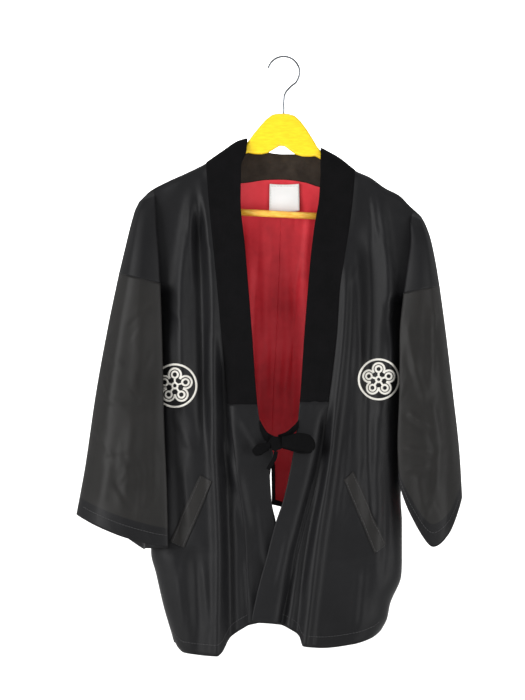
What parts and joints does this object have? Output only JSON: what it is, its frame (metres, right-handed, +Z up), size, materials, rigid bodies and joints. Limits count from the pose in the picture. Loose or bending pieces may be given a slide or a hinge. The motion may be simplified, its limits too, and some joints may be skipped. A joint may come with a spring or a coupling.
{
  "type": "hanten jacket on a hanger",
  "caption": "Lined, wide-sleeved short jacket with a velvet collar tied at the front, hung on a wooden hanger with a wire hook.",
  "frame": {"origin": "inside top of the hanger's hook, where a rail or a nail carries it", "axes": "+Z up; the jacket's front faces -Y; +X is to the right of someone who looks at the front"},
  "size_m": [0.6196, 0.1226, 0.9635],
  "materials": {
    "shell_cloth": "crisp charcoal taffeta with a soft sheen",
    "collar_velvet": "black cotton velvet",
    "lining_cloth": "soft red lining taffeta",
    "label_tape": "woven white tape, bare",
    "hanger_paint": "glossy yellow paint",
    "hanger_bar": "varnished orange-yellow",
    "hook_wire": "polished wire"
  },
  "bodies": {
    "root": {"front_left_shoulder": "shell_cloth", "front_left_waist": "shell_cloth", "front_left_skirt": "shell_cloth", "front_right_shoulder": "shell_cloth", "front_right_waist": "shell_cloth", "front_right_skirt": "shell_cloth", "back_left_shoulder": "shell_cloth", "back_left_waist": "shell_cloth", "back_left_skirt": "shell_cloth", "back_right_shoulder": "shell_cloth", "back_right_waist": "shell_cloth", "back_right_skirt": "shell_cloth", "sleeve_left": "shell_cloth", "sleeve_right": "shell_cloth", "lining_left": "lining_cloth", "lining_right": "lining_cloth", "collar_left": "collar_velvet", "collar_back": "collar_velvet", "collar_right": "collar_velvet", "band_left": "shell_cloth", "band_right": "shell_cloth", "welt_left": "shell_cloth", "welt_right": "shell_cloth", "label": "label_tape", "tie_strap_left": "collar_velvet", "tie_strap_right": "collar_velvet", "tie_loop_left": "collar_velvet", "tie_loop_right": "collar_velvet", "tie_tail": "collar_velvet", "tie_knot": "collar_velvet", "hanger_wood": "hanger_paint", "hanger_bar": "hanger_bar", "hanger_hook": "hook_wire"}
  },
  "joints": []
}
